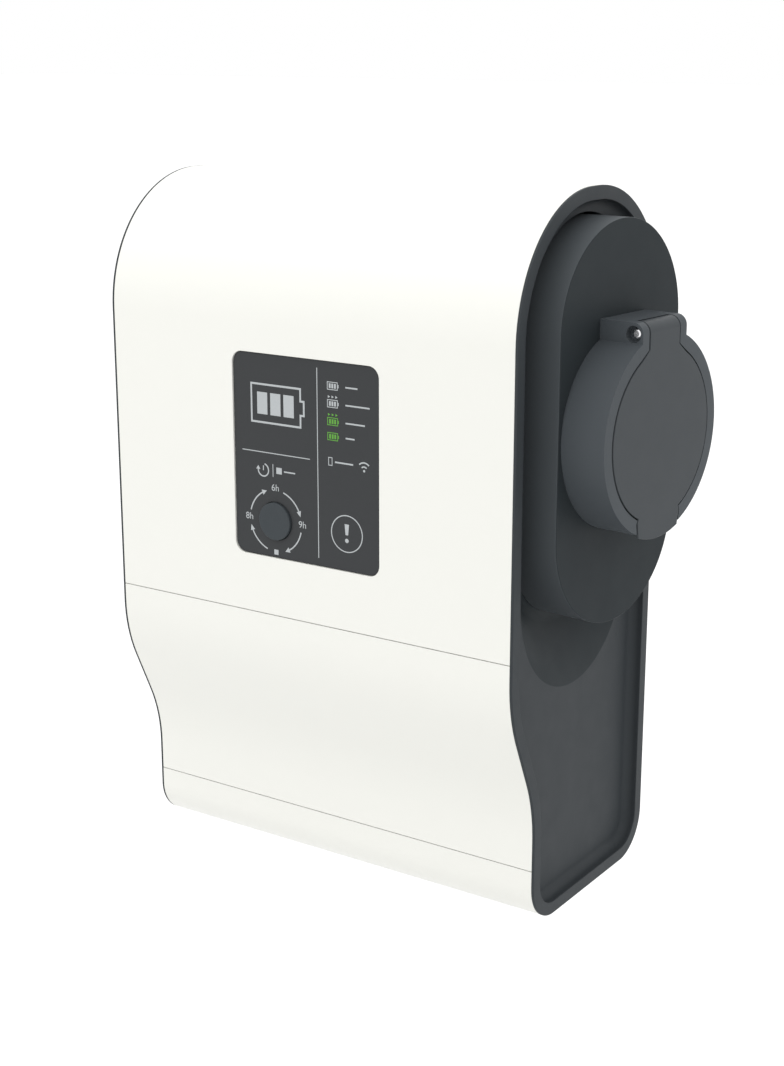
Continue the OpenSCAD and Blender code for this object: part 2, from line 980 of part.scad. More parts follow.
module earth_bar() {
    color([0.8, 0.65, 0.3])
        difference() {
            translate([20, -14, -76])
                cube([66, 11.1, 10]);
            for (k = [0:6])
                translate([26 + 9 * k, -14, -71])
                    bar_y(2, 14);
        }
}

// Where a contact's wire begins, behind the socket
function behind_contact(spot, depth) = socket_at
    + [cos(tilt), -sin(tilt), 0] * depth
    + [sin(tilt), cos(tilt), 0] * spot[0]
    + [0, 0, spot[1]];

// Four wires come from the contactor and the fifth, for the earth contact, from the earth bar
module power_wires() {
    starts = [-31.5, -22.5, undef, -13.5, -4.5];
    reach = [cos(tilt), -sin(tilt), 0];
    color("black") {
        for (k = [0, 1, 3, 4]) {
            end = behind_contact(contact_spots[k], contact_back - 0.5);
            start = [starts[k], -44, device_high + 0.5];
            wire(wire_path(start, start + [0, 0, 50], end - 95 * reach, end, 22), 2.4, 8, [0, 1, 0.01]);
        }
        earth_end = behind_contact(contact_spots[2], contact_back - 0.5);
        earth_start = [86.5, -8.5, -71];
        wire(wire_path(earth_start, earth_start + [80, 0, 0], earth_end - 120 * reach - [0, 0, 20],
                earth_end, 24),
            2.4, 8, [0, 1, 0.01]);
    }
}

// Two wires rise from the control board in front of the power wires and come in above them
module signal_wires() {
    reach = [cos(tilt), -sin(tilt), 0];
    color("gray")
        for (k = [0:1]) {
            end = behind_contact(signal_spots[k], contact_back + 5.5);
            start = [34 + 10 * k, logic_y - board_t - 6, -106.5];
            half = [54 + 6 * k, -116, 40];
            wire(concat([start - [0, 0, 0.4]],
                    bend_path(start, start + [0, 0, 30], half - [0, 0, 70], half, 14),
                    [for (p = bend_path(half, half + [0, 0, 75], end - 62 * reach, end, 14)) if (p != half) p],
                    [end + 0.4 * reach]),
                0.9, 8, [0, 1, 0.01]);
        }
}

// ---- supply cable gland ----

module at_gland(z) {
    translate([gland_at[0], gland_at[1], base_z + z])
        children();
}

module gland_body() {
    color(dark_grey)
        at_gland(0)
            difference() {
                union() {
                    translate([0, 0, -7])
                        cylinder(r = 17, h = 7, $fn = 6);
                    translate([0, 0, -12])
                        cylinder(r = 13.2, h = 6);
                    translate([0, 0, -1])
                        cylinder(r = gland_r, h = 15);
                }
                translate([0, 0, -20])
                    cylinder(r = gland_bore + 2, h = 40);
            }
}

module gland_seal() {
    color("black")
        at_gland(-11.5)
            difference() {
                cylinder(r = gland_bore + 1.95, h = 14);
                translate([0, 0, -1])
                    cylinder(r = gland_bore, h = 20);
            }
}

module gland_cap() {
    color(dark_grey)
        at_gland(-18)
            difference() {
                union() {
                    translate([0, 0, 4])
                        cylinder(r = 17, h = 6.8, $fn = 6);
                    cylinder(r1 = 12, r2 = 15, h = 4);
                }
                translate([0, 0, 5.9])
                    cylinder(r = 13.3, h = 10);
                translate([0, 0, -1])
                    cylinder(r = gland_bore + 1, h = 20);
            }
}

module gland_nut() {
    color(dark_grey)
        at_gland(cover_t + 0.05)
            difference() {
                cylinder(r = 17.5, h = 5.5, $fn = 6);
                translate([0, 0, -1])
                    cylinder(r = gland_r + 0.05, h = 10);
            }
}

// ---- fasteners of the casing ----

module cheek_screws() {
    color(steel)
        for (sx = [-1, 1], z = cheek_screw_z)
            translate([sx * (cheek_x - 8), 0, z]) {
                translate([0, -1, 0])
                    bar_y(3.6, 1.7);
                translate([0, -6.7, 0])
                    bar_y(1.5, 11);
            }
}

module cover_screws() {
    color(steel)
        for (sx = [-1, 1], y = cover_screw_y)
            translate([sx * cover_screw_x, y, base_z + 0.2]) {
                cylinder(r = 4, h = 1.7);
                cylinder(r = 1.7, h = 9);
            }
}

back_shell();
left_cheek();
right_cheek();
upper_cover();
lower_cover();
bottom_cover();
display_panel();
light_guides();
display_board();
board_screws();
button_switch();
button_spring();
push_button();
switch_plunger();
socket_housing();
flap_ring();
hinge_pin();
lid_spring();
socket_lid();
lid_seal();
socket_body();
contact_carrier();
power_contacts();
signal_contacts();
socket_screws();
ring_screws();
lock_motor();
lock_pin();
din_rail();
residual_breaker();
breaker_toggle();
contactor();
terminal_blocks();
control_board();
board_parts();
board_pillars();
earth_bar();
power_wires();
signal_wires();
gland_body();
gland_seal();
gland_cap();
gland_nut();
cheek_screws();
cover_screws();
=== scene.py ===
import json
import math

import bmesh
import bpy
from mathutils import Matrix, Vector


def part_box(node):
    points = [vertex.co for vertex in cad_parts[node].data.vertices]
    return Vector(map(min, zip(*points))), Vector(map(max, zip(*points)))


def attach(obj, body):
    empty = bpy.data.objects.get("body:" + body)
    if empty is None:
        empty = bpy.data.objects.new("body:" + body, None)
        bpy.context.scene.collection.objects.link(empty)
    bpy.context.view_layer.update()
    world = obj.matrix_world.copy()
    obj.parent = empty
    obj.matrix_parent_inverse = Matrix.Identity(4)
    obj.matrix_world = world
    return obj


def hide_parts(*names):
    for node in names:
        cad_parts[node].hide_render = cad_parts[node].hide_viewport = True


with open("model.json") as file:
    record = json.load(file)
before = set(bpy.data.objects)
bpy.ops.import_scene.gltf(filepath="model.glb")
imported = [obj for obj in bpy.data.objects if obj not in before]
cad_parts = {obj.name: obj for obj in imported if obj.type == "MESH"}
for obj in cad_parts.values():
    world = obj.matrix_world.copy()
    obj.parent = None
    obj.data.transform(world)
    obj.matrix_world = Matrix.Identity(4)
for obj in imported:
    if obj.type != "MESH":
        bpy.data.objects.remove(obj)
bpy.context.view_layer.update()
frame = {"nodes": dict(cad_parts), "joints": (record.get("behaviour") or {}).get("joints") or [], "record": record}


# ---- Camera, floor and light ----
# The box hangs in a white studio, brighter overhead, seen from its right and a little from above.
# A large soft lamp high in front of it, to the left, lights the rounded top more than the slope.
bpy.ops.object.camera_add(
    location=(0.6793, -1.0905, 0.3243),
    rotation=[math.radians(angle) for angle in (74.65, 0, 33.99)],
)
camera = bpy.context.object
camera.data.lens = 61.3
camera.data.sensor_width = 36
bpy.context.scene.camera = camera
bpy.context.scene.view_settings.view_transform = "Standard"


def new_material(name):
    """A material with its nodes, its shader and its output"""
    material = bpy.data.materials.new(name)
    material.use_nodes = True
    nodes = material.node_tree.nodes
    return material, nodes, material.node_tree.links, nodes["Principled BSDF"]


def object_coordinates(nodes):
    """The piece's own coordinates, in metres"""
    return nodes.new("ShaderNodeTexCoord").outputs["Object"]


studio = bpy.data.worlds.new("studio")
studio.use_nodes = True
background = studio.node_tree.nodes["Background"]
background.inputs["Color"].default_value = (1, 1, 1, 1)
heading = studio.node_tree.nodes.new("ShaderNodeTexCoord")
height = studio.node_tree.nodes.new("ShaderNodeSeparateXYZ")
overhead = studio.node_tree.nodes.new("ShaderNodeMapRange")
for name, value in (("From Min", 0.1), ("From Max", 0.8), ("To Min", 1), ("To Max", 1.5)):
    overhead.inputs[name].default_value = value
studio.node_tree.links.new(heading.outputs["Generated"], height.inputs[0])
studio.node_tree.links.new(height.outputs["Z"], overhead.inputs["Value"])
studio.node_tree.links.new(overhead.outputs["Result"], background.inputs["Strength"])
bpy.context.scene.world = studio

bpy.ops.object.light_add(type="AREA", location=(-0.5, -1.0, 1.6))
lamp = bpy.context.object
lamp.name = "soft_lamp"
lamp.rotation_euler = (Vector((0, 0, 0)) - lamp.location).to_track_quat("-Z", "Y").to_euler()
lamp.data.size = 1.3
lamp.data.energy = 9

bpy.ops.object.select_all(action="DESELECT")
bpy.ops.mesh.primitive_plane_add(size=60, location=(0, 0, -0.55))
bpy.ops.object.transform_apply(location=True, rotation=True, scale=True)
floor = bpy.context.object
floor.name = "studio_floor"
material, nodes, links, shader = new_material("floor_paint")
grain = nodes.new("ShaderNodeTexNoise")
grain.inputs["Scale"].default_value = 30
links.new(object_coordinates(nodes), grain.inputs["Vector"])
tone = nodes.new("ShaderNodeMix")
tone.data_type = "RGBA"
tone.inputs["A"].default_value = (0.80, 0.80, 0.80, 1)
tone.inputs["B"].default_value = (0.84, 0.84, 0.84, 1)
links.new(grain.outputs["Fac"], tone.inputs["Factor"])
links.new(tone.outputs["Result"], shader.inputs["Base Color"])
shader.inputs["Roughness"].default_value = 0.8
floor.data.materials.append(material)


# ---- White covers ----
# Three wrap-around covers of smooth white plastic, each of one even thickness: the upper one with
# the display's window, the S-shaped lower one, and the strip under the box with the gland's hole.
mm = 0.001
near = 0.02  # places closer than this, in millimetres, count as one


def box_mm(node):
    """A node's lowest and highest corner in millimetres"""
    low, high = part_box(node)
    return low / mm, high / mm


def new_point(name, at):
    """Starts a piece as one point, in edit mode, ready to be drawn out; places are in millimetres"""
    bpy.ops.object.select_all(action="DESELECT")
    bpy.ops.mesh.primitive_plane_add(size=1)
    piece = bpy.context.object
    piece.name = name
    bpy.ops.object.mode_set(mode="EDIT")
    bpy.ops.mesh.select_mode(type="VERT")
    bpy.ops.mesh.merge(type="CENTER")
    bpy.ops.transform.translate(value=Vector(at) * mm)
    return piece


def draw_out(move):
    """Draws what is selected on by a move"""
    bpy.ops.mesh.extrude_region_move(TRANSFORM_OT_translate={"value": Vector(move) * mm})


def trace(at, steps, view="side"):
    """Draws on from at, straight to a place of two numbers, or by an angle round a centre.
    The side view has Y and Z as its two numbers, the front view X and Z."""
    for step in steps:
        if len(step) == 2:
            across, up = step[0] - at[0], step[1] - at[1]
            draw_out((0, across, up) if view == "side" else (across, 0, up))
            at = step
            continue
        middle, angle = step[:2], math.radians(step[2])
        centre = (0, *middle) if view == "side" else (middle[0], 0, middle[1])
        bpy.ops.mesh.spin(
            steps=max(2, round(abs(step[2]) / 3)),
            angle=-angle,
            center=Vector(centre) * mm,
            axis=(1, 0, 0) if view == "side" else (0, -1, 0),
        )
        reach = (at[0] - middle[0], at[1] - middle[1])
        at = (
            middle[0] + reach[0] * math.cos(angle) - reach[1] * math.sin(angle),
            middle[1] + reach[0] * math.sin(angle) + reach[1] * math.cos(angle),
        )
    return at


def fill():
    """Closes a drawn outline and fills it with one face, which stays selected"""
    bpy.ops.mesh.select_all(action="SELECT")
    bpy.ops.mesh.remove_doubles(threshold=near * mm)
    bpy.ops.mesh.edge_face_add()


def pick(piece, kind, test):
    """Selects the points, edges or faces whose list of corner places, in millimetres, passes a test"""
    bpy.context.view_layer.objects.active = piece
    bpy.ops.object.mode_set(mode="EDIT")
    bpy.ops.mesh.select_mode(type=kind)
    bpy.ops.mesh.select_all(action="DESELECT")
    shape = bmesh.from_edit_mesh(piece.data)
    for part in {"VERT": shape.verts, "EDGE": shape.edges, "FACE": shape.faces}[kind]:
        corners = [part.co / mm] if kind == "VERT" else [v.co / mm for v in part.verts]
        part.select_set(test(corners))
    shape.select_flush_mode()
    bmesh.update_edit_mesh(piece.data)


def flat_at(axis, place):
    """A test for parts that lie in a plane across an axis"""
    return lambda corners: all(abs(c[axis] - place) < near for c in corners)


def outwards(piece):
    """Merges doubles, turns the faces outwards and leaves edit mode"""
    bpy.context.view_layer.objects.active = piece
    bpy.ops.object.mode_set(mode="EDIT")
    bpy.ops.mesh.select_all(action="SELECT")
    bpy.ops.mesh.remove_doubles(threshold=0.001 * mm)
    bpy.ops.mesh.normals_make_consistent(inside=False)
    bpy.ops.object.mode_set(mode="OBJECT")


def apply_modifier(piece, kind, **settings):
    """Adds a modifier with its settings and applies it"""
    bpy.ops.object.select_all(action="DESELECT")
    piece.select_set(True)
    bpy.context.view_layer.objects.active = piece
    modifier = piece.modifiers.new(kind.lower(), kind)
    for name, value in settings.items():
        setattr(modifier, name, value)
    bpy.ops.object.modifier_apply(modifier=modifier.name)


def combine(piece, tool, operation="DIFFERENCE"):
    """Cuts a tool's shape out of a piece, or joins it on, and clears the tool away"""
    apply_modifier(piece, "BOOLEAN", object=tool, operation=operation, solver="EXACT")
    bpy.data.objects.remove(tool)


def smooth(piece, angle=30):
    """Shades a piece smooth up to an angle, with flat faces kept flat"""
    bpy.ops.object.mode_set(mode="OBJECT")
    bpy.ops.object.select_all(action="DESELECT")
    piece.select_set(True)
    bpy.context.view_layer.objects.active = piece
    bpy.ops.object.shade_smooth_by_angle(angle=math.radians(angle))
    apply_modifier(piece, "WEIGHTED_NORMAL", keep_sharp=True)


def soften(piece, width, segments=3, angle=40):
    """Clears leftover points off the flat faces, rounds the sharp edges and shades the piece smooth"""
    pick(piece, "FACE", lambda c: True)
    bpy.ops.mesh.remove_doubles(threshold=0.01 * mm)
    bpy.ops.mesh.dissolve_limited(angle_limit=math.radians(0.3))
    bpy.ops.mesh.dissolve_degenerate(threshold=0.01 * mm)
    bpy.ops.object.mode_set(mode="OBJECT")
    apply_modifier(
        piece, "BEVEL", width=width * mm, segments=segments,
        limit_method="ANGLE", angle_limit=math.radians(angle),
    )
    smooth(piece)


def block(name, low, high, corner=0, along=1):
    """A block between two corners, its edges along one axis rounded by corner"""
    bpy.ops.object.select_all(action="DESELECT")
    bpy.ops.mesh.primitive_cube_add(size=1)
    piece = bpy.context.object
    piece.name = name
    low, high = Vector(low), Vector(high)
    bpy.ops.object.mode_set(mode="EDIT")
    bpy.ops.transform.resize(value=(high - low) * mm)
    bpy.ops.transform.translate(value=(high + low) / 2 * mm)
    if corner:
        pick(piece, "EDGE", lambda c: abs(c[0][along] - c[1][along]) > near)
        bpy.ops.mesh.bevel(offset=corner * mm, segments=10, affect="EDGES")
    bpy.ops.object.mode_set(mode="OBJECT")
    return piece


def bar(name, radius, centre, length, along, corners=96):
    """A round bar around a centre, along an axis"""
    turn = {0: (0, math.pi / 2, 0), 1: (math.pi / 2, 0, 0), 2: (0, 0, 0)}[along]
    bpy.ops.object.select_all(action="DESELECT")
    bpy.ops.mesh.primitive_cylinder_add(
        vertices=corners, radius=radius * mm, depth=length * mm,
        location=Vector(centre) * mm, rotation=turn,
    )
    piece = bpy.context.object
    piece.name = name
    bpy.ops.object.transform_apply(location=True, rotation=True, scale=True)
    return piece


upper_low, upper_high = box_mm("upper_cover")
lower_low, lower_high = box_mm("lower_cover")
strip_low, strip_high = box_mm("bottom_cover")
half_cover = upper_high.x
front = upper_low.y
middle_y = front / 2
cover_back = upper_high.y
top = upper_high.z
foot = strip_low.z
top_radius = 88.4
bend_radius = 105
bend_angle = 24.4
bend_top = -57.5
bend_foot = -175.21
foot_front = -153.2
foot_front_radius = 28
foot_back_radius = 30
cover_thickness = 2.8
bends = [
    (front, bend_top),
    (front + bend_radius, bend_top, bend_angle),
    (
        foot_front - bend_radius * (1 - math.cos(math.radians(bend_angle))),
        bend_foot + bend_radius * math.sin(math.radians(bend_angle)),
    ),
    (foot_front - bend_radius, bend_foot, -bend_angle),
]
top_rise = math.degrees(math.acos((cover_back + top_radius) / top_radius))
foot_rise = math.degrees(math.asin((cover_back + foot_back_radius) / foot_back_radius))


def cover_skin(name, start, steps):
    """A cover drawn out as a sheet from one edge across the box, then given its thickness"""
    piece = new_point(name, (-half_cover, *start))
    draw_out((2 * half_cover, 0, 0))
    bpy.ops.mesh.select_all(action="SELECT")
    trace(start, steps)
    outwards(piece)
    middle = Vector((0, middle_y, 0)) * mm
    if sum((face.center - middle).dot(face.normal) for face in piece.data.polygons) < 0:
        piece.data.flip_normals()
    apply_modifier(piece, "SOLIDIFY", thickness=cover_thickness * mm, offset=-1, use_even_offset=True)
    return piece


upper_skin = cover_skin(
    "upper_cover_skin",
    (
        -top_radius + top_radius * math.cos(math.radians(top_rise)),
        top - top_radius + top_radius * math.sin(math.radians(top_rise)),
    ),
    [
        (-top_radius, top - top_radius, 90 - top_rise),
        (front + top_radius, top),
        (front + top_radius, top - top_radius, 90),
        (front, upper_low.z),
    ],
)
lower_skin = cover_skin(
    "lower_cover_skin", (front, lower_high.z), [*bends, (foot_front, lower_low.z)]
)
strip_skin = cover_skin(
    "bottom_strip", (foot_front, strip_high.z),
    [
        (foot_front, foot + foot_front_radius),
        (foot_front + foot_front_radius, foot + foot_front_radius, 90),
        (-foot_back_radius, foot),
        (-foot_back_radius, foot + foot_back_radius, foot_rise),
    ],
)

panel_low, panel_high = box_mm("display_panel")
panel_gap = 0.4
panel_corner = 7.5
window_out = 5
window_in = 8
combine(
    upper_skin,
    block(
        "window_tool",
        (panel_low.x - panel_gap, front - window_out, panel_low.z - panel_gap),
        (panel_high.x + panel_gap, front + window_in, panel_high.z + panel_gap),
        panel_corner + panel_gap,
    ),
)
through = 20  # length of a tool that cuts right through a wall
gland_low, gland_high = box_mm("gland_body")
gland_at = (gland_low + gland_high) / 2
gland_radius = 12.7
combine(strip_skin, bar("gland_hole", gland_radius, (gland_at.x, gland_at.y, foot), through, 2))
screw_low, screw_high = box_mm("cover_screws")
screw_head = 4
screw_hole = 2.2
screw_sink = 4.2
sink_deep = 2
for x in (screw_low.x + screw_head, screw_high.x - screw_head):
    for y in (screw_low.y + screw_head, screw_high.y - screw_head):
        combine(strip_skin, bar("screw_hole", screw_hole, (x, y, foot), through, 2, 32))
        combine(strip_skin, bar("screw_sink", screw_sink, (x, y, foot), 2 * sink_deep, 2, 48))

# The plastic's surface is a shared effect: a faint cloudiness in the colour, patches of duller
# and shinier finish, and the fine grain of the mould.
moulded = bpy.data.node_groups.new("moulded_surface", "ShaderNodeTree")
for name, kind in (
    ("Place", "NodeSocketVector"), ("Colour", "NodeSocketColor"), ("Cloud", "NodeSocketFloat"),
    ("Roughness", "NodeSocketFloat"), ("Grain", "NodeSocketFloat"),
):
    moulded.interface.new_socket(name, in_out="INPUT", socket_type=kind)
for name, kind in (
    ("Colour", "NodeSocketColor"), ("Roughness", "NodeSocketFloat"), ("Height", "NodeSocketFloat"),
):
    moulded.interface.new_socket(name, in_out="OUTPUT", socket_type=kind)
given = moulded.nodes.new("NodeGroupInput")
result = moulded.nodes.new("NodeGroupOutput")


def maths(tree, operation, a, b):
    """A Math node of two values, each a number or a socket"""
    node = tree.nodes.new("ShaderNodeMath")
    node.operation = operation
    for value, socket in ((a, node.inputs[0]), (b, node.inputs[1])):
        if isinstance(value, (int, float)):
            socket.default_value = value
        else:
            tree.links.new(value, socket)
    return node.outputs[0]


def noise(tree, place, scale, detail=3):
    """A noise texture's value at a place; scale is a number or a socket"""
    node = tree.nodes.new("ShaderNodeTexNoise")
    node.inputs["Detail"].default_value = detail
    tree.links.new(place, node.inputs["Vector"])
    if isinstance(scale, (int, float)):
        node.inputs["Scale"].default_value = scale
    else:
        tree.links.new(scale, node.inputs["Scale"])
    return node.outputs["Fac"]


cloud = noise(moulded, given.outputs["Place"], 22)
smudge = noise(moulded, given.outputs["Place"], 60, 5)
fine = noise(moulded, given.outputs["Place"], given.outputs["Grain"], 4)
shift = maths(moulded, "MULTIPLY", maths(moulded, "SUBTRACT", cloud, 0.5), given.outputs["Cloud"])
speck = maths(moulded, "MULTIPLY", maths(moulded, "SUBTRACT", fine, 0.5), given.outputs["Cloud"])
light = maths(moulded, "ADD", maths(moulded, "ADD", shift, speck), 1)
tint = moulded.nodes.new("ShaderNodeVectorMath")
tint.operation = "SCALE"
moulded.links.new(given.outputs["Colour"], tint.inputs[0])
moulded.links.new(light, tint.inputs["Scale"])
moulded.links.new(tint.outputs[0], result.inputs["Colour"])
dull = maths(moulded, "MULTIPLY", maths(moulded, "SUBTRACT", smudge, 0.5), 0.16)
moulded.links.new(maths(moulded, "ADD", given.outputs["Roughness"], dull), result.inputs["Roughness"])
moulded.links.new(fine, result.inputs["Height"])


def plastic(name, colour, roughness, specular, grain, depth, cloud=0.06):
    """A moulded plastic: grain is how many grains there are to the metre, depth how deep they are"""
    material, nodes, links, shader = new_material(name)
    surface = nodes.new("ShaderNodeGroup")
    surface.node_tree = moulded
    surface.inputs["Colour"].default_value = (*colour, 1)
    surface.inputs["Cloud"].default_value = cloud
    surface.inputs["Roughness"].default_value = roughness
    surface.inputs["Grain"].default_value = grain
    links.new(object_coordinates(nodes), surface.inputs["Place"])
    relief = nodes.new("ShaderNodeBump")
    relief.inputs["Distance"].default_value = depth
    relief.inputs["Strength"].default_value = 0.6
    links.new(surface.outputs["Height"], relief.inputs["Height"])
    links.new(surface.outputs["Colour"], shader.inputs["Base Color"])
    links.new(surface.outputs["Roughness"], shader.inputs["Roughness"])
    links.new(relief.outputs["Normal"], shader.inputs["Normal"])
    shader.inputs["Specular IOR Level"].default_value = specular
    return material


def dress(piece, material, body="box"):
    """Gives a new piece its material and the body it moves with"""
    piece.data.materials.clear()
    piece.data.materials.append(material)
    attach(piece, body)


white_plastic = plastic("white_plastic", (0.70, 0.70, 0.66), 0.34, 0.4, 1600, 0.000003, 0.008)
cover_edge = 0.15
for skin, node in (
    (upper_skin, "upper_cover"), (lower_skin, "lower_cover"), (strip_skin, "bottom_cover")
):
    soften(skin, cover_edge, 2)
    dress(skin, white_plastic)
    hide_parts(node)


# ---- Side cheeks ----
# Two anthracite mouldings close the box at its sides. Each has a rounded rim, a fillet and a sunk
# panel; the right one also has a darker pocket around the socket housing, with a scoop at its foot.
cheek_high = box_mm("right_cheek")[1]
half_box = cheek_high.x
wall_side = cheek_high.y
band = 1.7
rim = 8.7
rim_edge = 0.5
sunk = 8.7
fillet = 6
spigot_in = 3
spigot = 13.3
cheek_start = (wall_side, foot + foot_back_radius)
cheek_outline = [
    (wall_side, top - top_radius),
    (wall_side - top_radius, top - top_radius, 90),
    (front + top_radius, top),
    (front + top_radius, top - top_radius, 90),
    *bends,
    (foot_front, foot + foot_front_radius),
    (foot_front + foot_front_radius, foot + foot_front_radius, 90),
    (-foot_back_radius, foot),
    (-foot_back_radius, foot + foot_back_radius, 90),
]


def cheek(name):
    """A cheek on the right side: rim, fillet and panel outside, the spigot inside the covers"""
    inner_face = half_box - band
    floor_at = half_box - sunk
    piece = new_point(name, (inner_face, *cheek_start))
    trace(cheek_start, cheek_outline)
    fill()
    draw_out((band, 0, 0))
    bpy.ops.mesh.inset(thickness=rim * mm)
    draw_out((-sunk, 0, 0))
    pick(piece, "EDGE", flat_at(0, floor_at))
    bpy.ops.mesh.bevel(offset=fillet * mm, segments=6, affect="EDGES")
    pick(piece, "FACE", flat_at(0, half_box))
    bpy.ops.mesh.region_to_loop()
    bpy.ops.mesh.bevel(offset=rim_edge * mm, segments=3, affect="EDGES")
    pick(piece, "FACE", flat_at(0, inner_face))
    bpy.ops.mesh.inset(thickness=spigot_in * mm)
    draw_out((-spigot, 0, 0))
    outwards(piece)
    return piece


def long_round(name, radius, centre, reach, x_from, x_to):
    """A solid with two half-round ends, one above the other, between two places along X"""
    y, z = centre
    start = (y - radius, z + reach)
    piece = new_point(name, (x_from, *start))
    trace(start, [
        (y - radius, z - reach),
        (y, z - reach, 180),
        (y + radius, z + reach),
        (y, z + reach, 180),
    ])
    fill()
    draw_out((x_to - x_from, 0, 0))
    outwards(piece)
    return piece


hinge = next(joint for joint in frame["joints"] if joint["name"] == "lid_hinge")
out = Vector((-hinge["axis"][1], hinge["axis"][0], 0))
tilt = math.atan2(-out.y, out.x)
hinge_out = 23.8
hinge_up = 64
socket_at = Vector(hinge["pos_m"]) / mm - hinge_out * out - Vector((0, 0, hinge_up))
housing_up = 2
housing_radius = 66.2
housing_reach = 61.7
pocket_radius = 70.5
pocket_y = -91.3
pocket_deep = 12.8
pocket_wall = 3
pocket_fillet = 3
scoop_run = 44
top_closer = 2.4
plug_way = 36.5
plug_way_back = 4

right_cheek = cheek("right_cheek_moulding")
pocket_centre = (pocket_y, socket_at.z + housing_up - top_closer / 2)
pocket_reach = housing_reach - top_closer / 2
pocket_floor = half_box - sunk - pocket_deep
pocket_outer = half_box - sunk


def pocket_form(name, grow, x_to):
    """The pocket's room grown by a wall: a long round whose lower half slopes out into the scoop"""
    x_from = pocket_floor - grow
    form = long_round(name, pocket_radius + grow, pocket_centre, pocket_reach, x_from, x_to)
    lower_end = pocket_centre[1] - pocket_reach
    pick(form, "VERT", lambda c: c[0].x > x_from + near and c[0].z < lower_end + near)
    bpy.ops.transform.translate(value=(0, 0, -scoop_run * (x_to - x_from) / pocket_deep * mm))
    outwards(form)
    return form


combine(right_cheek, pocket_form("pocket_skin", pocket_wall, pocket_outer - 1), "UNION")
pocket_tool = pocket_form("pocket_tool", 0, pocket_outer + 2)
pick(pocket_tool, "EDGE", flat_at(0, pocket_floor))
bpy.ops.mesh.bevel(offset=pocket_fillet * mm, segments=4, affect="EDGES")
outwards(pocket_tool)
combine(right_cheek, pocket_tool)
combine(
    right_cheek,
    bar("plug_way", plug_way, (pocket_floor, socket_at.y + plug_way_back, socket_at.z), through, 0),
)
left_cheek = cheek("left_cheek_moulding")
pick(left_cheek, "FACE", lambda c: True)
bpy.ops.transform.resize(value=(-1, 1, 1), center_override=(0, 0, 0))
outwards(left_cheek)

anthracite = plastic("anthracite_plastic", (0.034, 0.039, 0.043), 0.5, 0.12, 1500, 0.00005)
for piece, node in ((right_cheek, "right_cheek"), (left_cheek, "left_cheek")):
    smooth(piece)
    dress(piece, anthracite)
    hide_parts(node)

# The pocket's floor and walls take the darker plastic of the housing that stands in it.
housing_plastic = plastic("housing_plastic", (0.023, 0.028, 0.031), 0.5, 0.08, 1500, 0.00005)
right_cheek.data.materials.append(housing_plastic)
for face in right_cheek.data.polygons:
    in_pocket = pocket_floor - 0.5 < face.center.x / mm < pocket_outer - 0.2
    if in_pocket and face.normal.x > -0.5:
        face.material_index = 1


# ---- Socket housing ----
# A deep long-round moulding stands in the pocket and turns the socket a little to the front.
# It is drawn straight, turned to its place, and cut off level with the pocket's floor.
housing_deep = 60
housing_wall = 3
housing_face = 3.5
housing_hole = 33.5
housing_edge = 0.7
floor_gap = 0.1


def seat_at_socket(piece):
    """Puts a piece drawn around the socket's own axis in its place on the box"""
    bpy.ops.object.mode_set(mode="OBJECT")
    bpy.ops.object.select_all(action="DESELECT")
    piece.select_set(True)
    bpy.context.view_layer.objects.active = piece
    piece.rotation_euler = (0, 0, -tilt)
    piece.location = socket_at * mm
    bpy.ops.object.transform_apply(location=True, rotation=True, scale=True)


housing_middle = (0, housing_up)
housing = long_round(
    "socket_housing_moulding", housing_radius, housing_middle, housing_reach, -housing_deep, 0
)
combine(
    housing,
    long_round(
        "housing_hollow", housing_radius - housing_wall, housing_middle, housing_reach,
        -housing_deep - 1, -housing_face,
    ),
)
combine(housing, bar("housing_hole", housing_hole, (0, 0, 0), through, 0))
seat_at_socket(housing)
bpy.ops.object.mode_set(mode="EDIT")
bpy.ops.mesh.select_all(action="SELECT")
bpy.ops.mesh.bisect(
    plane_co=((pocket_floor + floor_gap) * mm, 0, 0),
    plane_no=(1, 0, 0),
    clear_inner=True,
    use_fill=False,
)
soften(housing, housing_edge)
dress(housing, housing_plastic)
# Painted light: every face of the housing not turned outwards, its side walls, gets a lighter copy of its plastic
# for the fill light those flanks catch; the outer face keeps the darker plastic.
housing.data.materials.append(
    plastic("housing_flank_painted_light", (0.062, 0.070, 0.076), 0.5, 0.12, 1500, 0.00005)
)
for face in housing.data.polygons:
    if face.normal.dot(out) < 0.7:
        face.material_index = 1
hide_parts("socket_housing")


# ---- Flap ring ----
# A moulded ring around the socket's well, with the block on top that holds the lid's hinge pin.
# The lid's outline is sunk into its face, with a slot for the tongue and a notch for the tab.
ring_radius = 63.7
ring_height = 30.7
well_radius = 46
seat_radius = 53.5
seat_floor = 24.7
lid_radius = 54.2
lid_face = 31
plate = 1.8
lid_gap = 1
tongue_half = 16.8
tongue_foot = 54.3
tongue_flare = 8.4
knuckle_radius = lid_face - hinge_out
tab_half = 24
tab_radius = 65.4
tab_slant = 1
tab_corner = 1.5
tab_flare = 2.5
block_half = 25
block_top = 71.2
block_edge = 6.8
ring_edge = 0.5
recess_room = 2
tool_face = 50
tool_top = 90
pin_sink = 5.2


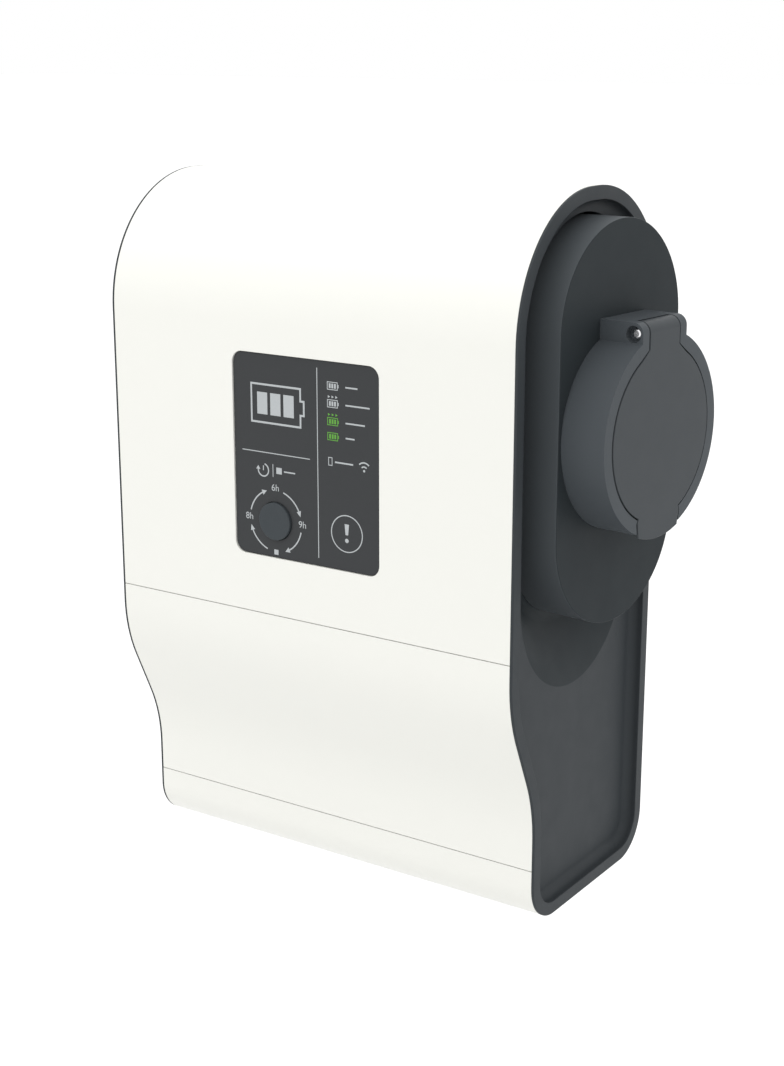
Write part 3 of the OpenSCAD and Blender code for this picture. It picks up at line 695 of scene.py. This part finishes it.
def lid_outline(name, grow, x_from, x_to, tongue_top):
    """The lid seen from the front: disc, flared tongue and thumb tab, made wider all round by grow"""
    radius = lid_radius + grow
    tongue = tongue_half + grow
    flare = tongue_half + tongue_flare + grow
    tab = tab_half + grow
    root = tab - tab_slant
    corner = tab - tab_corner
    flare_up = math.sqrt(radius**2 - flare**2)
    tab_root = -math.sqrt(radius**2 - root**2)
    tab_foot = -math.sqrt((tab_radius + grow) ** 2 - corner**2)
    half_turn = math.degrees(math.atan2(flare_up, flare) - math.atan2(tab_root, root))
    sweep = 2 * math.degrees(math.atan2(corner, -tab_foot))
    start = (tongue, tongue_top)
    piece = new_point(name, (x_from, *start))
    trace(start, [
        (-tongue, tongue_top),
        (-tongue, tongue_foot),
        (-flare, flare_up),
        (0, 0, half_turn),
        (-tab, tab_root - tab_flare),
        (-corner, tab_foot),
        (0, 0, sweep),
        (tab, tab_root - tab_flare),
        (root, tab_root),
        (0, 0, half_turn),
        (tongue, tongue_foot),
    ])
    fill()
    draw_out((x_to - x_from, 0, 0))
    outwards(piece)
    return piece


# Seen from the front the ring and its block are one outline. The block's front edge is rounded.
block_root = math.sqrt(ring_radius**2 - block_half**2)
block_angle = math.degrees(math.atan2(block_root, block_half))
ring = new_point("flap_ring_moulding", (0, block_half, block_top))
trace((block_half, block_top), [
    (-block_half, block_top),
    (-block_half, block_root),
    (0, 0, 180 + 2 * block_angle),
])
fill()
draw_out((ring_height, 0, 0))
pick(ring, "EDGE", lambda c: flat_at(0, ring_height)(c) and flat_at(2, block_top)(c))
bpy.ops.mesh.bevel(offset=block_edge * mm, segments=12, affect="EDGES")
outwards(ring)
combine(ring, bar("well", well_radius, (ring_height / 2, 0, 0), 2 * ring_height, 0, 128))
combine(ring, bar("seat", seat_radius, (seat_floor + through, 0, 0), 2 * through, 0, 160))
recess_floor = lid_face - plate - recess_room
combine(ring, lid_outline("lid_recess", lid_gap, recess_floor, tool_face, tool_top))

# The knuckle turns in a room open to the front and top, round at its back and foot.
room_half = tongue_half + lid_gap
room_radius = knuckle_radius + 0.4
slot_back = 2
slot_up = math.sqrt(room_radius**2 - slot_back**2)
room = new_point("knuckle_room", (tool_face, -room_half, tool_top))
trace((tool_face, tool_top), [
    (hinge_out - slot_back, tool_top),
    (hinge_out - slot_back, hinge_up + slot_up),
    (hinge_out, hinge_up, 270 - math.degrees(math.atan2(slot_up, -slot_back))),
    (tool_face, hinge_up - room_radius),
], "front")
fill()
draw_out((0, 2 * room_half, 0))
outwards(room)
combine(ring, room)
for side in (-1, 1):
    sink_middle = side * (block_half + through / 2 - pin_sink)
    combine(ring, bar("pin_sink", pin_sink, (hinge_out, sink_middle, hinge_up), through, 1, 64))
soften(ring, ring_edge)
seat_at_socket(ring)
ring_plastic = plastic("ring_plastic", (0.058, 0.066, 0.073), 0.45, 0.12, 1500, 0.00005)
dress(ring, ring_plastic)
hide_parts("flap_ring")


# ---- Socket lid ----
# One moulding: a flat disc with a raised step behind it for the seal, the thumb tab, and the tongue,
# which curls round the pin as a knuckle. A spring on the pin holds it shut.
lid_edge = 0.4
curl = 250
step_radius = 51.4
step_thick = 2.2
core_radius = 6
pin_radius = 4
pin_clearance = 0.1

lid = lid_outline("socket_lid_moulding", 0, lid_face - plate, lid_face, tongue_foot)
pick(lid, "FACE", flat_at(2, tongue_foot))
draw_out((0, 0, hinge_up - tongue_foot))
bpy.ops.mesh.spin(
    steps=48,
    angle=math.radians(curl),
    center=Vector((hinge_out, 0, hinge_up)) * mm,
    axis=(0, 1, 0),
)
outwards(lid)
soften(lid, lid_edge)
step = bar("lid_step", step_radius, (lid_face - plate - 1, 0, 0), step_thick, 0, 160)
core = bar("knuckle_core", core_radius, (hinge_out, 0, hinge_up), 2 * tongue_half - 1, 1, 64)
bore_radius = pin_radius + pin_clearance
combine(core, bar("knuckle_bore", bore_radius, (hinge_out, 0, hinge_up), 3 * through, 1, 64))
for extra in (step, core):
    soften(extra, lid_edge)
bpy.ops.object.select_all(action="DESELECT")
for piece in (step, core, lid):
    piece.select_set(True)
bpy.context.view_layer.objects.active = lid
bpy.ops.object.join()
seat_at_socket(lid)
lid_plastic = plastic("lid_plastic", (0.048, 0.054, 0.059), 0.42, 0.12, 1500, 0.00004)
dress(lid, lid_plastic, "lid")
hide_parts("socket_lid")


# ---- Hinge pin and other steel ----
# The lid turns on a straight pin of bright drawn steel with rounded ends, pushed through the block.
# Drawing leaves a faint brushing along the metal and small differences in shine. The springs,
# screws and rail are of a slightly duller steel.
pin_length = 43
pin_end = 2.4


def metal(name, colour, roughness, stretch=(1, 1, 14)):
    """A bright metal, its fine brushing across the axis on which stretch packs the grain closest"""
    material, nodes, links, shader = new_material(name)
    mapping = nodes.new("ShaderNodeMapping")
    mapping.inputs["Scale"].default_value = stretch
    links.new(object_coordinates(nodes), mapping.inputs["Vector"])
    brushing = noise(material.node_tree, mapping.outputs[0], 260, 6)
    patches = noise(material.node_tree, mapping.outputs[0], 24)
    tone = nodes.new("ShaderNodeMix")
    tone.data_type = "RGBA"
    tone.inputs["A"].default_value = (*[0.8 * c for c in colour], 1)
    tone.inputs["B"].default_value = (*colour, 1)
    links.new(patches, tone.inputs["Factor"])
    links.new(tone.outputs["Result"], shader.inputs["Base Color"])
    uneven = maths(material.node_tree, "MULTIPLY", brushing, 0.18)
    links.new(maths(material.node_tree, "ADD", uneven, roughness), shader.inputs["Roughness"])
    relief = nodes.new("ShaderNodeBump")
    relief.inputs["Distance"].default_value = 0.00002
    relief.inputs["Strength"].default_value = 0.5
    links.new(brushing, relief.inputs["Height"])
    links.new(relief.outputs["Normal"], shader.inputs["Normal"])
    shader.inputs["Metallic"].default_value = 1
    return material


pin = bar("hinge_pin_steel", pin_radius, (hinge_out, 0, hinge_up), pin_length, 1, 64)
soften(pin, pin_end, 6)
seat_at_socket(pin)
steel = metal("bright_steel", (0.75, 0.76, 0.78), 0.14)
dress(pin, metal("pin_steel", (0.93, 0.93, 0.95), 0.16))
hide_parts("hinge_pin")


# ---- Display panel ----
# A satin dark fascia set flush in the upper cover's window, with a round hole for the button.
# Light grey and green symbols are printed on it in a thin raised layer.
button_low, button_high = box_mm("push_button")
button_centre = (button_low + button_high) / 2
button_radius = 12.6
button_gap = 0.3
panel_face = panel_low.y
panel_back = panel_face + 3
panel_edge = 0.25
fascia = block(
    "display_fascia",
    (panel_low.x, panel_face, panel_low.z),
    (panel_high.x, panel_back, panel_high.z),
    panel_corner,
)
hole_at = (button_centre.x, panel_face, button_centre.z)
combine(fascia, bar("button_hole", button_radius + button_gap, hole_at, through, 1))
soften(fascia, panel_edge, 2)
fascia_plastic = plastic("fascia_plastic", (0.035, 0.037, 0.039), 0.38, 0.16, 2200, 0.00001, 0.03)
dress(fascia, fascia_plastic)
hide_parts("display_panel")

printed = {"light": [], "green": []}


def shape(points, frame_width=0, ink="light"):
    """A printed shape with straight sides, filled or as an outline of a given width"""
    piece = new_point("print", (points[0][0], panel_face, points[0][1]))
    trace(points[0], points[1:], "front")
    bpy.ops.mesh.select_all(action="SELECT")
    bpy.ops.mesh.edge_face_add()
    if frame_width:
        bpy.ops.mesh.inset(thickness=frame_width * mm)
        bpy.ops.mesh.delete(type="FACE")
    bpy.ops.object.mode_set(mode="OBJECT")
    printed[ink].append(piece)


def strip(x_from, z_from, x_to, z_to, ink="light", frame_width=0):
    """A printed rectangle"""
    shape([(x_from, z_from), (x_to, z_from), (x_to, z_to), (x_from, z_to)], frame_width, ink)


def arc(centre, radius, width, begin, sweep, ink="light"):
    """A printed arc from an angle, by a sweep, in degrees and against the clock"""
    way = Vector((math.cos(math.radians(begin)), 0, math.sin(math.radians(begin))))
    start = Vector((centre[0], panel_face, centre[1])) + way * (radius - width / 2)
    piece = new_point("print", start)
    draw_out(way * width)
    bpy.ops.mesh.select_all(action="SELECT")
    end = start + way * width
    trace((end.x, end.z), [(*centre, sweep)], "front")
    bpy.ops.mesh.select_all(action="SELECT")
    bpy.ops.mesh.remove_doubles(threshold=near * mm)
    bpy.ops.object.mode_set(mode="OBJECT")
    printed[ink].append(piece)


def arrow(tip, heading, length, half):
    """A printed arrowhead that points along a heading in degrees"""
    way = Vector((math.cos(math.radians(heading)), math.sin(math.radians(heading))))
    across = Vector((-way.y, way.x))
    tip = Vector(tip)
    tail = tip - way * length
    shape([tuple(tip), tuple(tail + across * half), tuple(tail - across * half)])


def dot(x, z, radius):
    """A printed dot"""
    sides = 24
    turns = [2 * math.pi * k / sides for k in range(sides)]
    shape([(x + radius * math.cos(turn), z + radius * math.sin(turn)) for turn in turns])


def digits(text, x, z, height):
    """A printed number of hours; the typeface's own size is more than its digits' height"""
    digit_share = 0.72
    bpy.ops.object.select_all(action="DESELECT")
    bpy.ops.object.text_add(
        location=Vector((x, panel_face, z)) * mm, rotation=(math.pi / 2, 0, 0)
    )
    piece = bpy.context.object
    piece.data.body = text
    piece.data.size = height / digit_share * mm
    piece.data.align_x = "CENTER"
    piece.data.align_y = "CENTER"
    bpy.ops.object.convert(target="MESH")
    bpy.ops.object.transform_apply(location=True, rotation=True, scale=True)
    printed["light"].append(bpy.context.object)


# Two thin rules part the symbols, and a large battery with three cells shows the charge.
strip(11.6, -0.8, 12.2, 123.2)
strip(-49, 63.2, 5.7, 63.8)
shape([
    (-41.3, 82.6), (-0.7, 82.6), (-0.7, 90.3), (2, 90.3), (2, 100.8), (-0.7, 100.8), (-0.7, 108.8),
    (-41.3, 108.8),
], 1.3)
for x in (-36, -25.4, -14.8):
    strip(x, 88.6, x + 8.2, 103)

# State symbols are four small batteries, two of them green, each with its legend as a plain bar.
for z, ink, legend, chase in (
    (112.8, "light", 9.2, False), (101.5, "light", 18.3, True),
    (90.1, "green", 14.7, True), (80.5, "green", 6.8, False),
):
    strip(19.7, z - 2.6, 27.9, z + 2.6, ink, 0.5)
    strip(28, z - 1, 28.6, z + 1, ink)
    for x in (21.1, 23.1, 25.1):
        strip(x, z - 1.5, x + 1.4, z + 1.5, ink)
    strip(33.8, z - 0.5, 33.8 + legend, z + 0.5)
    if chase:
        for x in (20.3, 23.2, 26.1):
            shape([(x, z + 3.4), (x + 1.7, z + 4.3), (x, z + 5.2)], 0, ink)

# Radio link symbols are a handset with a bar, and a fan of waves.
strip(20.2, 61.5, 23.4, 67, "light", 0.5)
strip(25.4, 63.7, 39.4, 64.7)
for radius in (2.6, 5.2):
    arc((47.8, 61.4), radius, 0.9, 45, 90)
dot(47.8, 61.3, 0.8)

# Timer and stop symbols stand above the dial.
arc((-32, 51.7), 4.2, 0.9, 75, -255)
arrow((-36.2, 54.4), 90, 2.6, 1.7)
strip(-32.3, 51.4, -31.6, 54.6)
strip(-24.4, 48, -23.9, 56.5)
strip(-21.4, 50.4, -17, 54.6)
strip(-15.2, 52, -6.2, 52.9)

# On the dial four arcs with arrowheads run with the clock between the numbers of hours.
dial = (button_centre.x, button_centre.z)
dial_radius = 20.9
dial_sweep = -46
tip_lead = 10.3
hour_height = 4.6
for begin in (166, 72, -13, -110):
    arc(dial, dial_radius, 0.9, begin, dial_sweep)
    end = begin + dial_sweep
    way = math.radians(end - tip_lead)
    tip = (dial[0] + dial_radius * math.cos(way), dial[1] + dial_radius * math.sin(way))
    arrow(tip, end - 95, 3.8, 1.8)
digits("6h", dial[0], dial[1] + 22.2, hour_height)
digits("9h", dial[0] + 21.6, dial[1] + 0.5, hour_height)
digits("8h", dial[0] - 21.6, dial[1] + 0.5, hour_height)
strip(dial[0] - 1.7, dial[1] - 22.7, dial[0] + 1.7, dial[1] - 19.3)

# The fault symbol is a ring with a stroke and a dot in it.
arc((34.2, 18.5), 12, 0.7, 0, 360)
shape([(33.2, 17.7), (35.2, 17.7), (35.9, 24.8), (32.5, 24.8)])
dot(34.2, 14, 1.4)


def ink_material(name, colour, painted_glow):
    """A printed ink, slightly uneven, with a painted glow of its own colour added as emission"""
    material = plastic(name, colour, 0.45, 0.3, 3000, 0.00001, 0.1)
    shader = material.node_tree.nodes["Principled BSDF"]
    shader.inputs["Emission Color"].default_value = (*colour, 1)
    shader.inputs["Emission Strength"].default_value = painted_glow
    return material


# Both inks carry a painted glow: emission that brightens the print though no lamp is behind it, faint on the light
# grey ink and stronger on the green.
print_thickness = 0.06
for ink, colour, painted_glow in (
    ("light", (0.37, 0.39, 0.40), 0.03), ("green", (0.08, 0.25, 0.03), 0.22)
):
    bpy.ops.object.select_all(action="DESELECT")
    for piece in printed[ink]:
        piece.select_set(True)
    bpy.context.view_layer.objects.active = printed[ink][0]
    bpy.ops.object.join()
    layer = bpy.context.object
    layer.name = "panel_print_" + ink
    for polygon in layer.data.polygons:
        if polygon.normal.y > 0:
            polygon.flip()
    apply_modifier(layer, "SOLIDIFY", thickness=print_thickness * mm, offset=1)
    outwards(layer)
    dress(layer, ink_material("ink_" + ink, colour, painted_glow))


# ---- Push button ----
# A round cap of dark plastic with a rounded edge and a slightly dished face for a fingertip.
# It stands in the fascia's hole, and a flange on its foot keeps it from coming out.
flange_out = 1.8
flange_thick = 1.6
flange_up = 2
cap_edge = 0.7
dish = ((2.2, 0), (3, 0.25), (3, 0.12))  # each ring's width and how far it dips

cap_middle = (button_centre.x, (button_low.y + panel_back) / 2, button_centre.z)
cap = bar("button_cap", button_radius, cap_middle, panel_back - button_low.y, 1)
pick(cap, "FACE", flat_at(1, button_low.y))
for width, dip in dish:
    bpy.ops.mesh.inset(thickness=width * mm)
    bpy.ops.transform.translate(value=(0, dip * mm, 0))
outwards(cap)
flange_at = (button_centre.x, button_high.y - flange_up, button_centre.z)
flange = bar("cap_flange", button_radius + flange_out, flange_at, flange_thick, 1)
combine(cap, flange, "UNION")
soften(cap, cap_edge)
button_plastic = plastic("button_plastic", (0.039, 0.046, 0.051), 0.42, 0.16, 1500, 0.00004)
dress(cap, button_plastic, "button")
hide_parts("push_button")


# ---- Equipment inside, fasteners and gland ----
# The back shell carries the rail with its switching devices, the boards on pillars and the wiring.
# They keep their shapes. The boards are green lacquer over copper tracks, and the rest are plain
# plastic, rubber, steel and brass.
circuit, nodes, links, shader = new_material("circuit_board")
tracks = nodes.new("ShaderNodeTexBrick")
tracks.inputs["Scale"].default_value = 160
tracks.inputs["Color1"].default_value = (0.010, 0.10, 0.04, 1)
tracks.inputs["Color2"].default_value = (0.014, 0.13, 0.05, 1)
tracks.inputs["Mortar"].default_value = (0.03, 0.22, 0.09, 1)
turned = nodes.new("ShaderNodeMapping")
turned.inputs["Rotation"].default_value = (math.pi / 2, 0, 0)
links.new(object_coordinates(nodes), turned.inputs["Vector"])
links.new(turned.outputs[0], tracks.inputs["Vector"])
links.new(tracks.outputs["Color"], shader.inputs["Base Color"])
solder = noise(circuit.node_tree, object_coordinates(nodes), 400)
uneven = maths(circuit.node_tree, "MULTIPLY", solder, 0.3)
links.new(maths(circuit.node_tree, "ADD", uneven, 0.2), shader.inputs["Roughness"])

brass = metal("turned_brass", (0.72, 0.52, 0.22), 0.2)
dark = plastic("black_plastic", (0.012, 0.013, 0.014), 0.45, 0.35, 1200, 0.00004)
device = plastic("device_plastic", (0.36, 0.37, 0.37), 0.5, 0.4, 1200, 0.00005)
rubber = plastic("seal_rubber", (0.010, 0.010, 0.011), 0.75, 0.25, 700, 0.0001, 0.2)
sleeve = plastic("cable_sleeve", (0.014, 0.014, 0.015), 0.4, 0.4, 300, 0.0001, 0.1)
clear = plastic("frosted_guide", (0.75, 0.80, 0.82), 0.35, 0.5, 500, 0.00005)
finishes = {
    "anthracite": anthracite, "panel": fascia_plastic, "button": button_plastic, "guide": clear,
    "board": circuit, "dark_plastic": dark, "device": device, "steel": steel, "brass": brass,
    "rubber": rubber, "cable": sleeve, "white_cover": white_plastic,
}
for part in frame["record"]["subparts"]:
    node = frame["nodes"][part["node"]]
    node.data.materials.clear()
    node.data.materials.append(finishes[part["material_slot"]])
